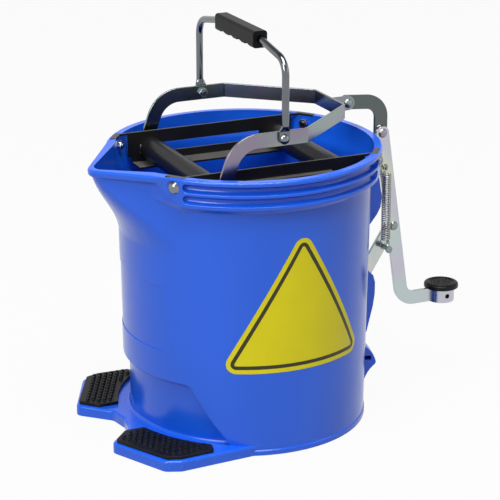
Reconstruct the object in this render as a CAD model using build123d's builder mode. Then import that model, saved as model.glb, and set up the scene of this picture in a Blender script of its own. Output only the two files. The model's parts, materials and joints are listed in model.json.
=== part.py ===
"""Mop bucket with a pedal-worked roller wringer.

Frame: origin on the bucket's axis at the floor, +Z up, +X towards the pedal, spout at -X.
All sizes in millimetres, with every joint at rest and the pedal up.
"""

import os
from math import asin, atan2, ceil, cos, degrees, hypot, pi, radians, sin, sqrt

from build123d import *

os.makedirs("parts", exist_ok=True)

# Clearances shared by the fits
run_fit = 0.06
seat_fit = 0.05
slide_gap = 0.3
leaf_gap = 0.4

# Bucket shell: its radii step in from the rim, and its collar hangs down from it
wall = 3.0
rim_z = 319.0
rim_r = 155.0
lip_h = 8.0
lip_round = 2.4
shoulder = 12.0
draft = 4.5
collar_h = 33.0
collar_lean = 2.5
collar_wall = 9.5
collar_flare = 5.0
inner_ease_low = 4.0
inner_ease_high = 16.0
cut_in_low = 55.0
cut_in_high = 83.5
groove_h = 9.4
groove_depth = 6.3
groove_drop = 9.75
groove_pitch = 13.0
grooves = 2
groove_front_deg = 42.3
groove_rear_deg = 42.3
groove_round = 0.8
skirt_h = 5.0
skirt_out = 1.2
floor_z = 8.0
floor_t = 3.5
foot_ring_w = 12.0
hub_r = 24.0

# Pouring spout
spout_out = 35.0
spout_start = 38.0
spout_drop = 7.0
spout_tip_r = 17.0
spout_under = 5.7
spout_lip_w = 11.0
spout_low_drop = 62.0
spout_flank_deg = 40.0
spout_sink = 0.3
spout_join = 4.0
spout_swell = ((0.0, 0.0), (0.14, 0.08), (0.32, 0.27), (1.0, 1.0))

# Toe recess and bare panel in the front wall
toe_depth = 6.0
toe_top_z = 77.0
toe_top_half = 90.0
toe_low_half = 119.0
toe_round = 8.0
toe_cove = 4.0
toe_cove_sink = 0.5
panel_depth = 0.8
panel_half = 65.5
panel_low = 112.0
panel_high = 188.0
panel_round = 6.0

# Foot rests at the front of the base, measured ahead of the base circle and aside from its middle or edge
rest_h = 12.0
rest_round = 3.0
rest_wall = 3.5
rest_corner_r = 10.0
notch_out = 11.5
notch_half = 24.0
notch_lean = 4.0
rest_out = 49.0
rest_tip_half = 57.0
rest_side_out = 14.5
rest_side_in = 9.5
rest_heel_in = 2.5
rest_root_back = 93.5
rest_root_in = 7.5

# Rubber pads on the rests, laid out in the same way
pad_t = 4.0
pad_gap = 8.5
pad_corner_r = 4.0
pad_out = 44.5
pad_front_out = 26.5
pad_tip_half = 60.0
pad_notch_half = 40.5
pad_side_out = 10.5
pad_side_in = 12.5
pad_heel_back = 5.5
pad_heel_in = 7.5
pad_root_back = 43.5
pad_root_in = 9.5
pad_inside = 38.5
stud_r = 2.4
stud_h = 2.8
stud_taper = 14.0
stud_pitch = 7.2
stud_border = 5.0

# Wringer side plates
plate_t = 2.5
plate_inset = 51.5
plate_end_gap = 8.06
plate_low_gap = 4.6
plate_step = 8.5
shelf_w = 25.0
shelf_gap = 1.0
hem_w = 8.0
hem_half = 62.0
tab_reach = 3.0
tab_w = 23.0
tab_out = 6.5
tab_sink = 2.2
hook_w = 15.0
hook_h = 19.0
hook_skin = 1.8
hook_inset = 6.2
frame_bolt_drop = 11.0
frame_bolt_r = 3.0
frame_bolt_spot = 1.2
frame_head_r = 7.0
frame_head_h = 3.6

# Rollers and axles
axle_r = 3.5
axle_drop = 20.5
roller_r = 13.5
roller_wall = 3.0
roller_play = 0.95
bush_len = 14.0
bush_flange = 1.0
rear_axle_in = 23.0
clip_r = 7.0
clip_t = 1.5
travel = 95.0
block_len = 24.0
block_h = 10.0
slot_end_gap = 0.6
slot_spare = 30.0

# Wringer yoke: a bent strip with a leg at each end
strip_w = 16.5
strip_t = 3.0
yoke_rise = 34.0
yoke_gap = 4.25
yoke_bend_x = 24.0
yoke_front_out = 3.5
yoke_front_half = 36.5
yoke_bend_r = 6.0
leg_bend_r = 32.5
leg_end_in = 24.5
leg_lean_x = 22.3
leg_end_drop = 28.0

# Pedal linkage, all leaves parallel to the X-Z plane
leaf_t = 4.0
leaf_w = 16.5
pull_out = 21.9
pull_drop = 1.0
pull_corner_drop = 4.0
lever_out = 18.6
lever_top_drop = 7.4
lever_pivot_drop = 114.4
lever_lean = 0.149
foot_drop = 93.7
lever_bend_r = 18.0
pull_bend_r = 20.0
link_out = 12.932
link_rise = 62.756
pull_slot_rise = 5.2
pull_slot_lean = -2.0
pull_slot_gap = 0.8
ring_r = 16.0
ring_t = 3.5
ring_reach = 53.7
ring_slit = 1.2
ring_hole_r = 2.8
pedal_pad_r = 20.5
pedal_pad_t = 5.5
pedal_pad_round = 2.5
pedal_rings = 4
pedal_ring_pitch = 4.2
pedal_ring_w = 1.8
pedal_ring_h = 0.7
pedal_plug_len = 12.0
pivot_r = 3.5
rivet_r = 3.0
rivet_tail_t = 2.0

# Return spring between the shell and the link
wire_r = 0.7
coil_r = 5.1
spring_turns = 36
spring_pitch = 2.2
spring_gap_y = 0.8
spring_drop = 26.7
tail_bend_r = 2.0
tail_len = 5.0
tail_gap = 0.3
spring_stud_r = 2.5
spring_stud_rim = 1.8
spring_stud_over = 5.0
anchor_r = 1.8
anchor_short = 2.5
anchor_seat_out = 9.5

# Rear lugs of the shell, as points out from the base circle and up from the pivot, anchor or floor
fin_t = 4.6
fin_points = (
    (18.5, -64.4),
    (21.8, -51.4),
    (26.5, -32.8),
    (28.7, -17.4),
    (28.7, -3.4),
    (26.0, 5.6),
    (18.5, 12.6),
)
fin_root_low = -82.4
fin_root_high = 15.6
boss_half = 16.5
boss_points = (
    (9.5, -70.4),
    (16.5, -61.9),
    (23.0, -53.9),
    (27.5, -45.4),
    (29.0, -33.4),
    (22.5, 6.6),
)
boss_root_low = -78.4
boss_root_high = 18.6
boss_disc_r = 10.6
boss_disc_t = 2.0
boss_disc_out = 11.5
boss_disc_drop = 41.4
tip_grip_deg = 20.0
tip_grip_top = ((1.0, 72.0), (11.5, 61.5), (15.5, 51.0))
tip_grip_under = ((14.3, 48.5), (6.0, 38.5), (0.0, 14.0))
tip_hole_out = (2.5, 9.8)
tip_hole_z = (53.5, 59.0)

# Carrying handle
bail_r = 4.0
bail_x = -4.0
bail_rise = 96.0
bail_gap = 0.3
bail_bend_r = 20.0
bail_shoulder_drop = 11.0
bail_shoulder_in = 3.0
bail_foot_t = 3.0
bail_foot_w = 12.0
bail_foot_gap = 0.4
bail_flat_rise = 8.5
bail_flat_len = 6.5
grip_half = 51.0
grip_w = 17.0
grip_top = 9.0
grip_low = 10.0
grip_round = 3.5
fingers = 4
finger_r = 12.0
finger_bite = 3.0
finger_pitch = 21.5
handle_bolt_r = 3.0

# Fastener heads
dome_r = 5.6
dome_h = 3.2
nut_across = 10.0
nut_h = 4.0
thread_over = 1.5

# Shell places worked out from the sizes above
sides = (-1, 1)
body_top_r = rim_r - shoulder
base_r = body_top_r - draft
collar_z = rim_z - collar_h
taper = draft / collar_z
collar_low_r = rim_r - collar_lean
collar_inner_r = rim_r - collar_wall
groove_levels = [rim_z - groove_drop - i * groove_pitch for i in range(grooves)]
spout_reach = rim_r + spout_out
spout_x = rim_r * cos(radians(spout_start))
spout_slope = rim_r * sin(radians(spout_start)) / (spout_reach - spout_x)
spout_low_z = collar_z - spout_low_drop
front_x = spout_reach + wall
lug_root = base_r - wall / 2
rest_root_x = base_r - rest_root_back
rest_outline = (
    (base_r + notch_out, 0),
    (base_r + notch_out + notch_lean, notch_half),
    (base_r + rest_out, rest_tip_half),
    (base_r + rest_side_out, base_r - rest_side_in),
    (base_r - rest_heel_in, base_r - rest_heel_in),
    (rest_root_x, base_r - rest_root_in),
)
pad_inner_r = base_r + pad_gap
pad_outline = (
    (base_r - pad_inside, pad_notch_half),
    (base_r + pad_front_out, pad_notch_half),
    (base_r + pad_out, pad_tip_half),
    (base_r + pad_side_out, base_r - pad_side_in),
    (base_r - pad_heel_back, base_r - pad_heel_in),
    (base_r - pad_root_back, base_r - pad_root_in),
    (base_r - pad_root_back - stud_pitch, base_r - pad_inside),
)

# Wringer places
plate_y = collar_inner_r - plate_inset
plate_in = plate_y - plate_t / 2
plate_out = plate_y + plate_t / 2
plate_half = sqrt(collar_inner_r**2 - plate_y**2) - plate_end_gap
plate_low_half = sqrt((body_top_r - wall) ** 2 - plate_out**2) - plate_low_gap
axle_z = rim_z - axle_drop
plate_low_z = axle_z - roller_r - shelf_gap - plate_t
plate_step_z = plate_low_z + plate_step
slot_h = block_h + 2 * slide_gap
hook_r = collar_inner_r + hook_skin + slide_gap
frame_bolt_deg = degrees(asin((plate_y - hook_inset) / hook_r))
frame_bolt_z = rim_z - frame_bolt_drop
frame_turns = (frame_bolt_deg, 180 - frame_bolt_deg, 180 + frame_bolt_deg, -frame_bolt_deg)
tab_x = sqrt(collar_inner_r**2 - plate_y**2) + tab_reach
frame_nut_r = sqrt(collar_inner_r**2 - nut_across**2 / 3) - seat_fit
rear_axle_x = plate_half - rear_axle_in
roller_half = plate_in - bush_flange - roller_play
yoke_y = plate_out + hem_w + yoke_gap + strip_t / 2
yoke_z = rim_z + yoke_rise
yoke_front_x = plate_half + yoke_front_out
leg_end = (leg_end_in - plate_half, rim_z - leg_end_drop)
leg_corner_x = leg_end[0] + leg_lean_x
leg_lean = (leg_end[0] - leg_corner_x) / (yoke_z - leg_end[1])
front_axle_x = leg_corner_x + leg_lean * (yoke_z - axle_z)
leg_in = yoke_y - strip_t / 2
leg_out = yoke_y + strip_t / 2
block_in = plate_in - 2 * slide_gap

# Linkage places, as X and Z
pull_pivot = (yoke_front_x + pull_out, yoke_z - pull_drop)
lever_top = (rim_r + lever_out, rim_z - lever_top_drop)
pull_corner = (lever_top[0], pull_pivot[1] - pull_corner_drop)
lever_pivot = (lever_top[0] + lever_lean * lever_pivot_drop, lever_top[1] - lever_pivot_drop)
foot_z = lever_pivot[1] - foot_drop
lever_foot_x = lever_top[0] + lever_lean * (lever_top[1] - foot_z)
ring_x = lever_foot_x + ring_reach
link_base = (base_r + link_out, lever_pivot[1] - link_rise)
link_len = hypot(lever_pivot[0] - link_base[0], link_rise)
link_dir = ((lever_pivot[0] - link_base[0]) / link_len, link_rise / link_len)
back_y = leaf_gap + leaf_t
nut_y = back_y + leaf_gap

# Spring, lug and handle places
spring_x = lever_pivot[0] - spring_drop * link_dir[0]
spring_low = lever_pivot[1] - spring_drop * link_dir[1]
spring_y = -leaf_t - spring_gap_y - coil_r - wire_r
coil_low = spring_low + spring_stud_r + tail_gap + tail_len + tail_bend_r
coil_high = coil_low + spring_turns * spring_pitch
anchor_z = coil_high + tail_bend_r + tail_len + tail_gap + anchor_r
anchor_seat_x = base_r + anchor_seat_out
fin_outline = [(base_r + out, link_base[1] + rise) for out, rise in fin_points]
boss_outline = [(base_r + out, anchor_z + rise) for out, rise in boss_points]
bail_pivot_z = yoke_z
bail_top_z = yoke_z + bail_rise
bail_foot_in = leg_out + bail_foot_gap
bail_foot_out = bail_foot_in + bail_foot_t
bail_y = bail_foot_in + bail_r + bail_gap
bail_flat_z = bail_pivot_z + bail_flat_rise


def upright(y):
    """Plane parallel to X-Z at this Y, drawn in X and Z, extruding towards -Y."""
    return Plane.XZ.offset(-y)


def far_face(side, inner, outer):
    """Upright plane at the +Y face of a layer between two distances from the X-Z plane."""
    return upright(max(side * inner, side * outer))


def radial(angle):
    """Plane through the Z axis at this angle from +X, drawn in radius and Z."""
    a = radians(angle)
    return Plane((0, 0, 0), x_dir=(cos(a), sin(a), 0), z_dir=(sin(a), -cos(a), 0))


def outward(angle, r, z, sign=1):
    """Plane that faces away from the Z axis, or towards it, at this angle and radius."""
    a = radians(angle)
    facing = (sign * cos(a), sign * sin(a), 0)
    return Plane((r * cos(a), r * sin(a), z), x_dir=(-sin(a), cos(a), 0), z_dir=facing)


def sideways(x, y, z, sign):
    """Plane at a point, facing along +Y or -Y."""
    return Plane((x, y, z), x_dir=(1, 0, 0), z_dir=(0, sign, 0))


def dome_bolt(seat, shank_r, shank_len, head_r=dome_r, head_h=dome_h):
    """Round-headed bolt whose head sits on a plane, with its shank behind it."""
    flank = Plane(seat.origin, x_dir=seat.x_dir, z_dir=-seat.y_dir)
    with BuildSketch(flank) as half:
        with BuildLine():
            Polyline((0, head_h), (0, -shank_len), (shank_r, -shank_len), (shank_r, 0), (head_r, 0))
            TangentArc((0, head_h), (head_r, 0), tangent=(1, 0))
        make_face()
    revolve(half.sketch, axis=Axis(seat.origin, seat.z_dir))


def disc(seat, r, length, bore_r=0.0):
    """Round bar or washer standing on a plane."""
    with BuildSketch(seat) as end:
        Circle(r)
        if bore_r > 0:
            Circle(bore_r, mode=Mode.SUBTRACT)
    extrude(end.sketch, amount=length)


def hex_nut(seat, bore_r):
    """Hexagon nut standing on a plane."""
    with BuildSketch(seat) as end:
        RegularPolygon(nut_across / 2, 6, major_radius=False)
        Circle(bore_r, mode=Mode.SUBTRACT)
    extrude(end.sketch, amount=nut_h)


def cross_hole(x, z, r):
    """Hole along Y through the part being built."""
    with BuildSketch(upright(rim_r)) as end:
        with Locations((x, z)):
            Circle(r)
    extrude(end.sketch, amount=2 * rim_r, mode=Mode.SUBTRACT)


def strap(plane, points, bend_r, width, thickness):
    """Flat strap along a bent line, with round ends."""
    with BuildSketch(plane) as face:
        with BuildLine():
            if len(points) > 2:
                FilletPolyline(*points, radius=bend_r)
            else:
                Line(*points)
        trace(line_width=width)
        with Locations(points[0], points[-1]):
            Circle(width / 2)
    extrude(face.sketch, amount=thickness)


def finish(piece, name):
    """Labels a piece and writes it."""
    piece.part.label = name
    export_step(piece.part, f"parts/{name}.step")


def spout_face(tip_x, root_x, half, tip_r):
    """Outline of the spout seen from above: a wedge with a round tip."""
    with BuildLine() as outline:
        FilletPolyline((root_x, -half), (tip_x, 0), (root_x, half), radius=tip_r)
        Line((root_x, half), (root_x, -half))
    make_face(outline.edges())


def spout_section(z, flank, reach):
    """Level cut through the spout: a round nose between two flanks at one distance from the Z axis."""
    turn = radians(spout_flank_deg)
    nose_r = (flank - reach * cos(turn)) / (1 - cos(turn))
    nose = (nose_r - reach - nose_r * cos(turn), nose_r * sin(turn))
    root = (spout_join * sin(turn) - flank * cos(turn), spout_join * cos(turn) + flank * sin(turn))
    with BuildSketch(Plane.XY.offset(z)) as level:
        with BuildLine() as outline:
            Line((root[0], -root[1]), (nose[0], -nose[1]))
            ThreePointArc((nose[0], -nose[1]), (-reach, 0), nose)
            Line(nose, root)
            Line(root, (root[0], -root[1]))
        make_face(outline.edges())
    return level.sketch.face()


def spout_body(inset, mouth_inset, low_z):
    """Spout swelling out of the body, from a level line on it up to the mouth."""
    sections = []
    for rise, swell in spout_swell:
        z = low_z + (rim_z - low_z) * rise
        flank = base_r + taper * z - spout_sink - inset
        sections.append(spout_section(z, flank, flank + (spout_reach - mouth_inset - flank) * swell))
    loft(sections)


def toe_outline(grow):
    """Outline of the toe recess seen from the front, in Y and Z."""
    with BuildSketch(Plane.YZ.offset(-front_x)) as front:
        with BuildLine():
            FilletPolyline(
                (-toe_low_half - grow, rest_h),
                (-toe_top_half - grow, toe_top_z + grow),
                (toe_top_half + grow, toe_top_z + grow),
                (toe_low_half + grow, rest_h),
                radius=toe_round,
            )
            Line((toe_low_half + grow, rest_h), (-toe_low_half - grow, rest_h))
        make_face()
    return front.sketch


def rest_sketch():
    """Outline of both foot rests, from half of its points."""
    Polygon(*[(-x, y) for x, y in rest_outline], (-rest_root_x, 0), align=None)
    mirror(about=Plane.XZ)


# Step left in the cavity behind the toe recess
toe_r = base_r - toe_depth
toe_cove_deg = degrees(asin(toe_low_half / base_r)) + toe_cove
with BuildPart() as toe_step:
    extrude(toe_outline(wall), amount=front_x)
    Cylinder(toe_r - wall, 2 * rim_z, mode=Mode.SUBTRACT)

# Cavity of the bucket: the body, the wider collar and the spout
with BuildPart() as cavity:
    with BuildSketch(Plane.XZ):
        Polygon(
            (0, floor_z),
            (base_r - wall, floor_z),
            (body_top_r - wall, collar_z - inner_ease_low),
            (collar_inner_r, collar_z + inner_ease_high),
            (collar_inner_r, rim_z + lip_h),
            (0, rim_z + lip_h),
            align=None,
        )
    revolve(axis=Axis.Z)
    add(toe_step.part, mode=Mode.SUBTRACT)
    spout_body(wall, spout_lip_w, spout_low_z + wall)

# Toe recess and bare panel, as the solids that they take away
with BuildPart() as toe_cut:
    extrude(toe_outline(0), amount=front_x)
    Cylinder(toe_r, 2 * rim_z, mode=Mode.SUBTRACT)

panel_mid = (panel_low + panel_high) / 2
panel_floor_r = base_r - panel_depth
with BuildPart() as panel_cut:
    with BuildSketch(Plane.YZ.offset(-front_x)):
        with Locations((0, panel_mid)):
            RectangleRounded(2 * panel_half, panel_high - panel_low, panel_round)
    extrude(amount=front_x)
    with BuildSketch(Plane.XZ):
        Polygon((0, 0), (panel_floor_r, 0), (panel_floor_r + taper * rim_z, rim_z), (0, rim_z), align=None)
    revolve(axis=Axis.Z, mode=Mode.SUBTRACT)

# Lip of the spout, sloping down to its tip
drop = radians(spout_drop)
spout_top = Plane((-spout_x, 0, rim_z), x_dir=(cos(drop), 0, sin(drop)), z_dir=(-sin(drop), 0, cos(drop)))
with BuildPart() as spout_lip:
    with BuildSketch(spout_top.offset(-lip_h)):
        spout_face(spout_x - spout_reach, 0, spout_slope * (spout_reach - spout_x), spout_tip_r)
    extrude(amount=lip_h)
    lip_edges = edges().filter_by(lambda e: (e @ 0.5).X < -spout_x - 2 * lip_round)
    fillet(lip_edges.filter_by(lambda e: abs((e % 0.5).dot(spout_top.z_dir)) < 0.5), lip_round)

# Foot rests: a hollow ledge round the front of the base, notched in the middle
with BuildPart() as foot_rests:
    with BuildSketch():
        rest_sketch()
        fillet(vertices().filter_by(lambda v: v.X < -rest_root_x - rest_round), rest_corner_r)
    extrude(amount=rest_h)
    top_edges = edges().group_by(Axis.Z)[-1]
    fillet(top_edges.filter_by(lambda e: (e @ 0.5).X < -rest_root_x - rest_round), rest_round)
    with BuildSketch():
        rest_sketch()
        offset(amount=-rest_wall)
        Circle(base_r, mode=Mode.SUBTRACT)
    extrude(amount=rest_h - rest_wall, mode=Mode.SUBTRACT)

# Ribbed collar under the rim, cut away on a slant at the spout
groove_arc = 180 - groove_front_deg - groove_rear_deg
with BuildPart() as collar:
    with BuildSketch(Plane.XZ):
        with BuildLine():
            Polyline(
                (rim_r - lip_round, rim_z),
                (collar_inner_r, rim_z),
                (collar_inner_r, collar_z),
                (collar_low_r - lip_round, collar_z),
            )
            RadiusArc((collar_low_r - lip_round, collar_z), (collar_low_r, collar_z + lip_round), -lip_round)
            Line((collar_low_r, collar_z + lip_round), (rim_r, rim_z - lip_round))
            RadiusArc((rim_r, rim_z - lip_round), (rim_r - lip_round, rim_z), -lip_round)
        make_face()
    revolve(axis=Axis.Z)
    for side in sides:
        for level in groove_levels:
            with BuildSketch(radial(groove_rear_deg if side > 0 else 180 + groove_front_deg)):
                with Locations((rim_r, level)):
                    Rectangle(2 * groove_depth, groove_h)
            revolve(axis=Axis.Z, revolution_arc=groove_arc, mode=Mode.SUBTRACT)
            for end in (groove_rear_deg, 180 - groove_front_deg):
                with BuildSketch(outward(side * end, rim_r - groove_depth, level)):
                    Circle(groove_h / 2)
                extrude(amount=2 * groove_depth, mode=Mode.SUBTRACT)
    brink = edges().filter_by(lambda e: hypot((e @ 0.5).X, (e @ 0.5).Y) > collar_low_r)
    ends_in = lip_round + groove_round
    brink = brink.filter_by(lambda e: collar_z + ends_in < (e @ 0.5).Z < rim_z - ends_in)
    fillet(brink.filter_by(lambda e: abs((e @ 0.5).Y) > plate_y / 2), groove_round)
    with BuildSketch(Plane.YZ.offset(-front_x)):
        Polygon(
            (cut_in_low - rim_r, collar_z - wall),
            (cut_in_high - rim_r, rim_z - lip_h),
            (rim_r - cut_in_high, rim_z - lip_h),
            (rim_r - cut_in_low, collar_z - wall),
            align=None,
        )
    extrude(amount=front_x, mode=Mode.SUBTRACT)

# Bucket shell
with BuildPart() as bucket:
    with BuildSketch(Plane.XZ):
        Polygon(
            (0, 0),
            (base_r + skirt_out, 0),
            (base_r + skirt_out, skirt_h),
            (base_r + taper * skirt_h, skirt_h + skirt_out),
            (body_top_r, collar_z - collar_flare),
            (collar_inner_r + wall, collar_z + wall),
            (collar_inner_r + wall, rim_z - lip_h / 2),
            (0, rim_z - lip_h / 2),
            align=None,
        )
    revolve(axis=Axis.Z)
    add(toe_cut.part, mode=Mode.SUBTRACT)
    add(panel_cut.part, mode=Mode.SUBTRACT)
    add(foot_rests.part)
    with BuildSketch(radial(180 - toe_cove_deg)):
        with BuildLine():
            Polyline(
                (toe_r, rest_h + toe_cove),
                (toe_r - toe_cove_sink, rest_h + toe_cove),
                (toe_r - toe_cove_sink, rest_h - toe_cove_sink),
                (toe_r + toe_cove, rest_h - toe_cove_sink),
                (toe_r + toe_cove, rest_h),
            )
            RadiusArc((toe_r + toe_cove, rest_h), (toe_r, rest_h + toe_cove), toe_cove)
        make_face()
    revolve(axis=Axis.Z, revolution_arc=2 * toe_cove_deg)
    spout_body(0, spout_under, spout_low_z)
    add(spout_lip.part)
    add(collar.part)
    with BuildSketch(spout_top):
        with Locations((-spout_reach / 2, 0)):
            Rectangle(spout_reach, 2 * rim_r)
    extrude(amount=spout_reach, mode=Mode.SUBTRACT)

    # Lip to tip the bucket by, lug for the spring and fins for the link
    with BuildSketch(radial(-tip_grip_deg)):
        with BuildLine():
            top = ThreePointArc(*[(base_r + out, z) for out, z in tip_grip_top])
            under = ThreePointArc(*[(base_r + out, z) for out, z in tip_grip_under])
            Line(top @ 1, under @ 0)
            Polyline(under @ 1, (lug_root, (under @ 1).Y), (lug_root, (top @ 0).Y), top @ 0)
        make_face()
        with Locations((base_r + sum(tip_hole_out) / 2, sum(tip_hole_z) / 2)):
            Rectangle(tip_hole_out[1] - tip_hole_out[0], tip_hole_z[1] - tip_hole_z[0], mode=Mode.SUBTRACT)
    revolve(axis=Axis.Z, revolution_arc=2 * tip_grip_deg)
    with BuildSketch(upright(boss_half)):
        boss_root = ((lug_root, anchor_z + boss_root_high), (lug_root, anchor_z + boss_root_low))
        Polygon(*boss_outline, *boss_root, align=None)
    extrude(amount=2 * boss_half)
    for side in sides:
        disc_seat = sideways(base_r + boss_disc_out, side * boss_half, anchor_z - boss_disc_drop, side)
        disc(disc_seat, boss_disc_r, boss_disc_t)
    for far_y in (0, nut_y + fin_t):
        with BuildSketch(upright(far_y)):
            fin_root = ((lug_root, link_base[1] + fin_root_high), (lug_root, link_base[1] + fin_root_low))
            Polygon(*fin_outline, *fin_root, align=None)
        extrude(amount=fin_t)
    add(cavity.part, mode=Mode.SUBTRACT)

    # Hollow underside inside the foot ring, round a level hub
    with BuildSketch():
        Circle(base_r - foot_ring_w)
        Circle(hub_r, mode=Mode.SUBTRACT)
    extrude(amount=floor_z - floor_t, mode=Mode.SUBTRACT)

    # Seats, holes and pockets for the frame bolts, hooks and tabs, the link's pivot and the spring's anchor
    for turn in frame_turns:
        with BuildSketch(outward(turn, rim_r - frame_bolt_spot, frame_bolt_z)):
            Circle(frame_head_r + frame_bolt_spot)
        extrude(amount=collar_wall, mode=Mode.SUBTRACT)
        with BuildSketch(outward(turn, collar_inner_r - wall, frame_bolt_z)):
            Circle(frame_bolt_r + seat_fit)
        extrude(amount=2 * collar_wall, mode=Mode.SUBTRACT)
        with BuildSketch(outward(turn, hook_r - slide_gap, rim_z - hook_h / 2)):
            Rectangle(hook_w + 2 * slide_gap, hook_h + 2 * slide_gap)
        extrude(amount=plate_t + 2 * slide_gap, mode=Mode.SUBTRACT)
        with BuildSketch(Plane.XY.offset(rim_z - tab_sink)):
            with PolarLocations(collar_inner_r + (tab_out + slide_gap - wall) / 2, 1, start_angle=turn):
                Rectangle(tab_out + slide_gap + wall, tab_w + 2 * slide_gap)
        extrude(amount=lip_h, mode=Mode.SUBTRACT)
    cross_hole(*link_base, pivot_r + seat_fit)
    with BuildSketch(Plane.YZ.offset(anchor_seat_x)):
        with Locations((spring_y, anchor_z)):
            Circle(anchor_r + seat_fit)
    extrude(amount=spring_x, mode=Mode.SUBTRACT)
finish(bucket, "bucket_shell")


def foot_pad(side, name):
    """Rubber pad on one foot rest, with rows of round studs inside a plain border."""
    with BuildSketch(Plane.XY.offset(rest_h)) as outline:
        Polygon(*[(-x, side * y) for x, y in pad_outline], align=None)
        Circle(pad_inner_r, mode=Mode.SUBTRACT)
        fillet(vertices(), pad_corner_r)
    with BuildSketch() as studded:
        add(outline.sketch_local)
        offset(amount=-stud_border)
    inside = studded.sketch.face()
    rows = ceil(spout_reach / stud_pitch)
    spots = []
    for i in range(rows):
        for j in range(rows):
            spots.append((-stud_pitch * (i + j % 2 / 2), side * stud_pitch * j))
    with BuildPart() as pad:
        extrude(outline.sketch, amount=pad_t)
        with BuildSketch(Plane.XY.offset(rest_h + pad_t)):
            with Locations(*[spot for spot in spots if inside.is_inside(spot + (0,))]):
                Circle(stud_r)
        extrude(amount=stud_h, taper=stud_taper)
    finish(pad, name)


foot_pad(-1, "foot_pad_left")
foot_pad(1, "foot_pad_right")


def side_plate(side, name):
    """Pressed steel plate with a slot for the sliding roller, hooked over the rim at both ends."""
    with BuildPart() as plate:
        with BuildSketch(far_face(side, plate_in, plate_out)):
            Polygon(
                (-plate_low_half, plate_low_z),
                (plate_low_half, plate_low_z),
                (plate_low_half, plate_step_z),
                (plate_half, plate_step_z),
                (plate_half, rim_z + plate_t - tab_sink),
                (-plate_half, rim_z + plate_t - tab_sink),
                (-plate_half, plate_step_z),
                (-plate_low_half, plate_step_z),
                align=None,
            )
            with Locations((front_axle_x + (travel + slot_spare) / 2, axle_z)):
                Rectangle(travel + slot_spare + block_len + 2 * slot_end_gap, slot_h, mode=Mode.SUBTRACT)
            with Locations((rear_axle_x, axle_z)):
                Circle(axle_r + seat_fit, mode=Mode.SUBTRACT)
        extrude(amount=plate_t)
        with BuildSketch(Plane.XY.offset(rim_z - tab_sink)):
            with Locations((0, side * plate_y)):
                Rectangle(2 * tab_x, plate_t)
            for turn in (side * frame_bolt_deg, 180 - side * frame_bolt_deg):
                with PolarLocations(collar_inner_r + tab_out / 2, 1, start_angle=turn):
                    Rectangle(tab_out, tab_w)
        extrude(amount=plate_t)
        with BuildSketch(Plane.XY.offset(plate_low_z)):
            with Locations((0, side * (plate_out - shelf_w / 2))):
                Rectangle(2 * plate_low_half, shelf_w)
        extrude(amount=plate_t)
        with BuildSketch(Plane.XY.offset(axle_z + slot_h / 2)):
            with Locations((0, side * (plate_out + hem_w / 2))):
                Rectangle(2 * hem_half, hem_w)
        extrude(amount=plate_t)
        for turn in (side * frame_bolt_deg, 180 - side * frame_bolt_deg):
            with BuildSketch(outward(turn, hook_r, rim_z - hook_h / 2)):
                Rectangle(hook_w, hook_h)
                with Locations((0, hook_h / 2 - frame_bolt_drop)):
                    Circle(frame_bolt_r + seat_fit, mode=Mode.SUBTRACT)
            extrude(amount=plate_t)
    finish(plate, name)


side_plate(-1, "side_plate_left")
side_plate(1, "side_plate_right")

with BuildPart() as frame_bolts:
    for turn in frame_turns:
        bolt_len = rim_r - frame_bolt_spot - frame_nut_r + nut_h + thread_over
        seat = outward(turn, rim_r - frame_bolt_spot, frame_bolt_z)
        dome_bolt(seat, frame_bolt_r, bolt_len, frame_head_r, frame_head_h)
finish(frame_bolts, "frame_bolts")

with BuildPart() as frame_nuts:
    for turn in frame_turns:
        hex_nut(outward(turn, frame_nut_r, frame_bolt_z, -1), frame_bolt_r + seat_fit)
finish(frame_nuts, "frame_nuts")


def roller(x, name):
    """Plastic tube roller across the wringer."""
    with BuildPart() as tube:
        disc(sideways(x, -roller_half, axle_z, 1), roller_r, 2 * roller_half, roller_r - roller_wall)
    finish(tube, name)


def roller_bushes(x, name):
    """Flanged nylon bush in each end of a roller."""
    with BuildPart() as bushes:
        for side in sides:
            flange_r = roller_r - bush_flange
            disc(sideways(x, side * roller_half, axle_z, side), flange_r, bush_flange, axle_r + run_fit)
            plug_r = roller_r - roller_wall - seat_fit
            disc(sideways(x, side * roller_half, axle_z, -side), plug_r, bush_len, axle_r + run_fit)
    finish(bushes, name)


roller(rear_axle_x, "rear_roller")
roller_bushes(rear_axle_x, "rear_roller_bushes")
roller(front_axle_x, "front_roller")
roller_bushes(front_axle_x, "front_roller_bushes")

# Rear axle, fixed in the side plates and held by a clip at each end
rear_axle_half = plate_out + clip_t + thread_over
with BuildPart() as rear_axle:
    disc(sideways(rear_axle_x, -rear_axle_half, axle_z, 1), axle_r, 2 * rear_axle_half)
finish(rear_axle, "rear_axle")

with BuildPart() as rear_axle_clips:
    for side in sides:
        disc(sideways(rear_axle_x, side * plate_out, axle_z, side), clip_r, clip_t, axle_r + seat_fit)
finish(rear_axle_clips, "rear_axle_clips")

# Front axle, clamped in the yoke's legs and guided by a nylon block in each slot
front_axle_half = leg_out + nut_h + thread_over
with BuildPart() as front_axle:
    disc(sideways(front_axle_x, -front_axle_half, axle_z, 1), axle_r, 2 * front_axle_half)
finish(front_axle, "front_axle")

with BuildPart() as front_axle_nuts:
    for side in sides:
        hex_nut(sideways(front_axle_x, side * leg_out, axle_z, side), axle_r + seat_fit)
finish(front_axle_nuts, "front_axle_nuts")

with BuildPart() as slide_blocks:
    for side in sides:
        with BuildSketch(far_face(side, block_in, leg_in)):
            with Locations((front_axle_x, axle_z)):
                Rectangle(block_len, block_h)
                Circle(axle_r + seat_fit, mode=Mode.SUBTRACT)
        extrude(amount=leg_in - block_in)
finish(slide_blocks, "slide_blocks")

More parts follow.
